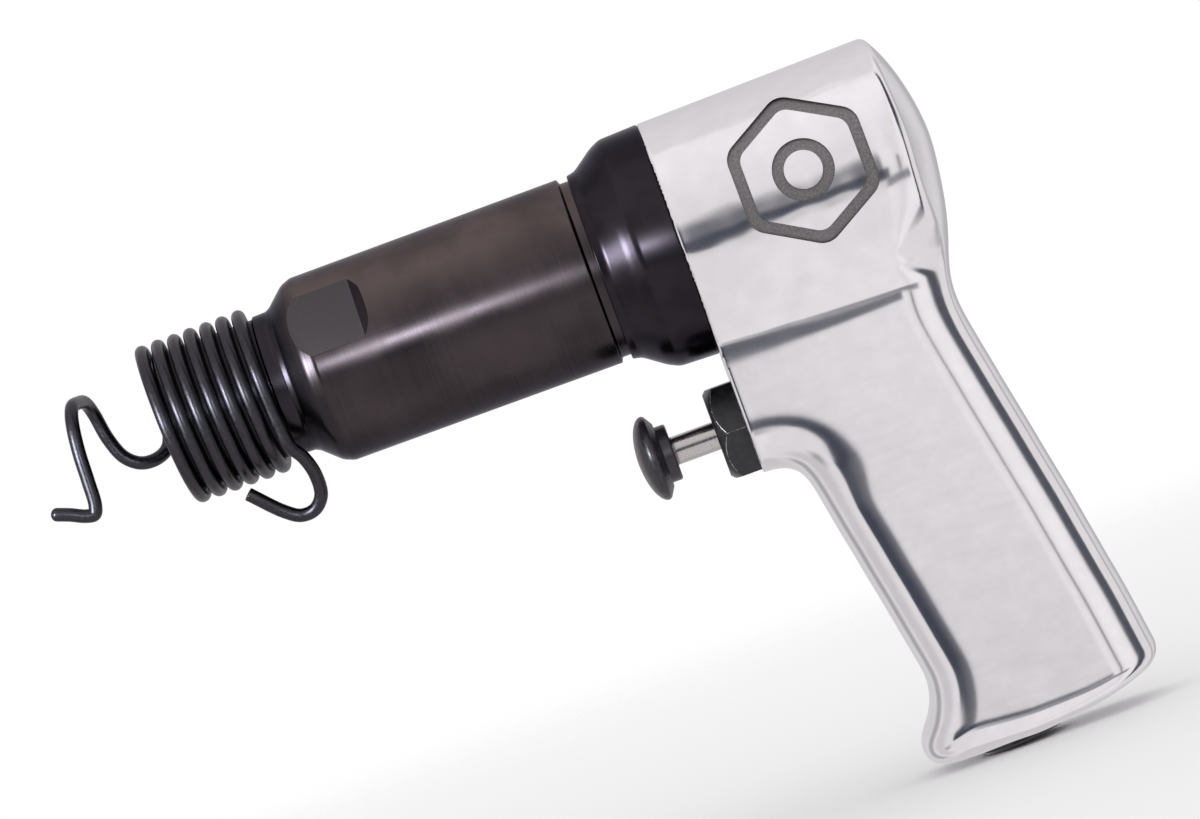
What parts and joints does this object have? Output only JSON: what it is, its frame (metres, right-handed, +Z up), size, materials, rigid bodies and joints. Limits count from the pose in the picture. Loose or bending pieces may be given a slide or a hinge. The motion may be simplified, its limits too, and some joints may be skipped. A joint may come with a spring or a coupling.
{
  "type": "pneumatic air hammer",
  "caption": "Pistol-grip pneumatic air hammer with a black steel barrel, wire retainer spring and push-button throttle in a polished aluminium handle.",
  "frame": {"origin": "centre of the mouth of the chisel shank bore, on the barrel axis", "axes": "+X to the rear along the barrel axis, +Z up, grip down, Y = 0 is the plane of symmetry of the castings"},
  "size_m": [0.2369, 0.0604, 0.1719],
  "materials": {
    "polished_aluminium": "polished",
    "black_steel": "black oxide, satin",
    "worn_black_steel": "black oxide, worn edges",
    "spring_wire": "satin",
    "hardened_steel": "ground",
    "bright_steel": "bright",
    "seal_rubber": "matte",
    "button_plastic": "satin",
    "screen_brass": "satin"
  },
  "bodies": {
    "frame": {"handle": "polished_aluminium", "barrel": "black_steel", "exhaust_deflector": "black_steel", "barrel_o_ring": "seal_rubber", "retainer_spring": "spring_wire", "valve_seat": "hardened_steel", "valve_box": "hardened_steel", "valve_dowel_pins": "bright_steel", "valve_gasket": "seal_rubber", "throttle_bushing": "worn_black_steel", "bushing_o_ring": "seal_rubber", "port_o_ring": "seal_rubber", "stem_o_ring": "seal_rubber", "throttle_spring": "bright_steel", "inlet_bushing": "worn_black_steel", "inlet_o_ring": "seal_rubber", "inlet_screen": "screen_brass", "screen_ring": "bright_steel"},
    "throttle": {"throttle_stem": "bright_steel", "throttle_button": "button_plastic", "poppet_washer": "seal_rubber"},
    "piston": {"piston": "hardened_steel"},
    "valve_disc": {"valve_disc": "hardened_steel"}
  },
  "joints": [
    {"name": "throttle_press", "type": "slide", "parent": "frame", "child": "throttle", "axis": [1, 0, 0], "range_m": [0, 0.008], "stiffness_N_per_m": 900, "springref_m": -0.006, "deforming": ["throttle_spring"]},
    {"name": "piston_stroke", "type": "slide", "parent": "frame", "child": "piston", "axis": [-1, 0, 0], "range_m": [0, 0.065]},
    {"name": "valve_shift", "type": "slide", "parent": "frame", "child": "valve_disc", "axis": [1, 0, 0], "range_m": [0, 0.001]}
  ]
}
